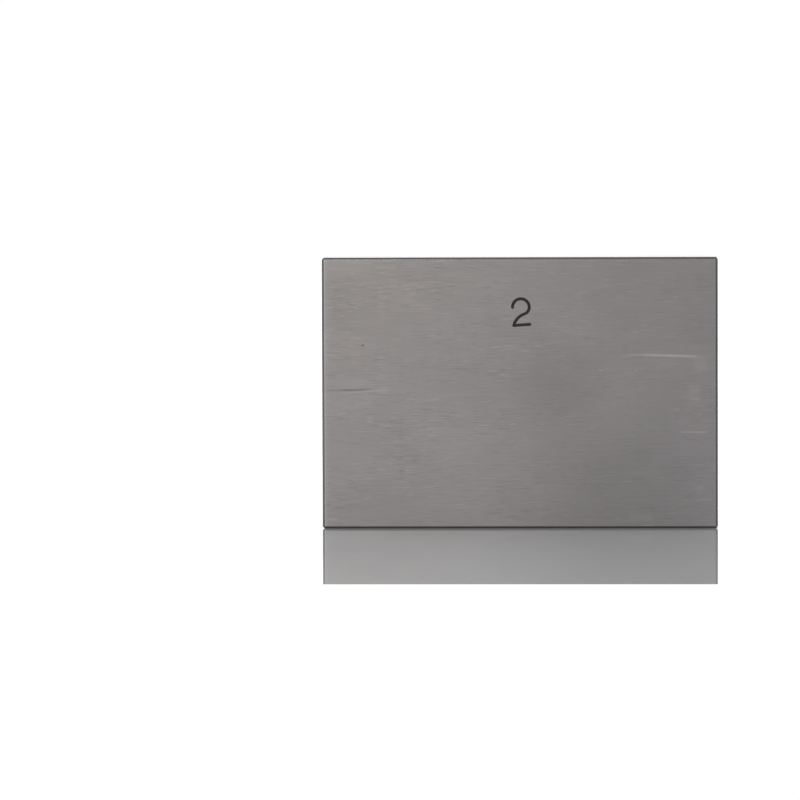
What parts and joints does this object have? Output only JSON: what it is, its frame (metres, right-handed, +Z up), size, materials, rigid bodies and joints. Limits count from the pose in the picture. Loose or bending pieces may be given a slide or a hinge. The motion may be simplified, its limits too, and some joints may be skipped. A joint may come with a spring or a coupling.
{
  "type": "gauge block",
  "caption": "Rectangular steel gauge block with two lapped measuring ends, bevelled edges and its nominal length engraved as a plain numeral on one broad side.",
  "frame": {"origin": "middle of the long narrow side that the block stands on", "axes": "+X along the measuring length, +Y through the thickness from the engraved broad side to the plain one, +Z up across the width"},
  "size_m": [0.0508, 0.0088, 0.0349],
  "materials": {
    "steel": "hardened steel: fine-ground broad and narrow sides with the grain along the length, mirror-lapped measuring ends, dark engraved numeral"
  },
  "bodies": {
    "root": {"gauge_block": "steel"}
  },
  "joints": []
}
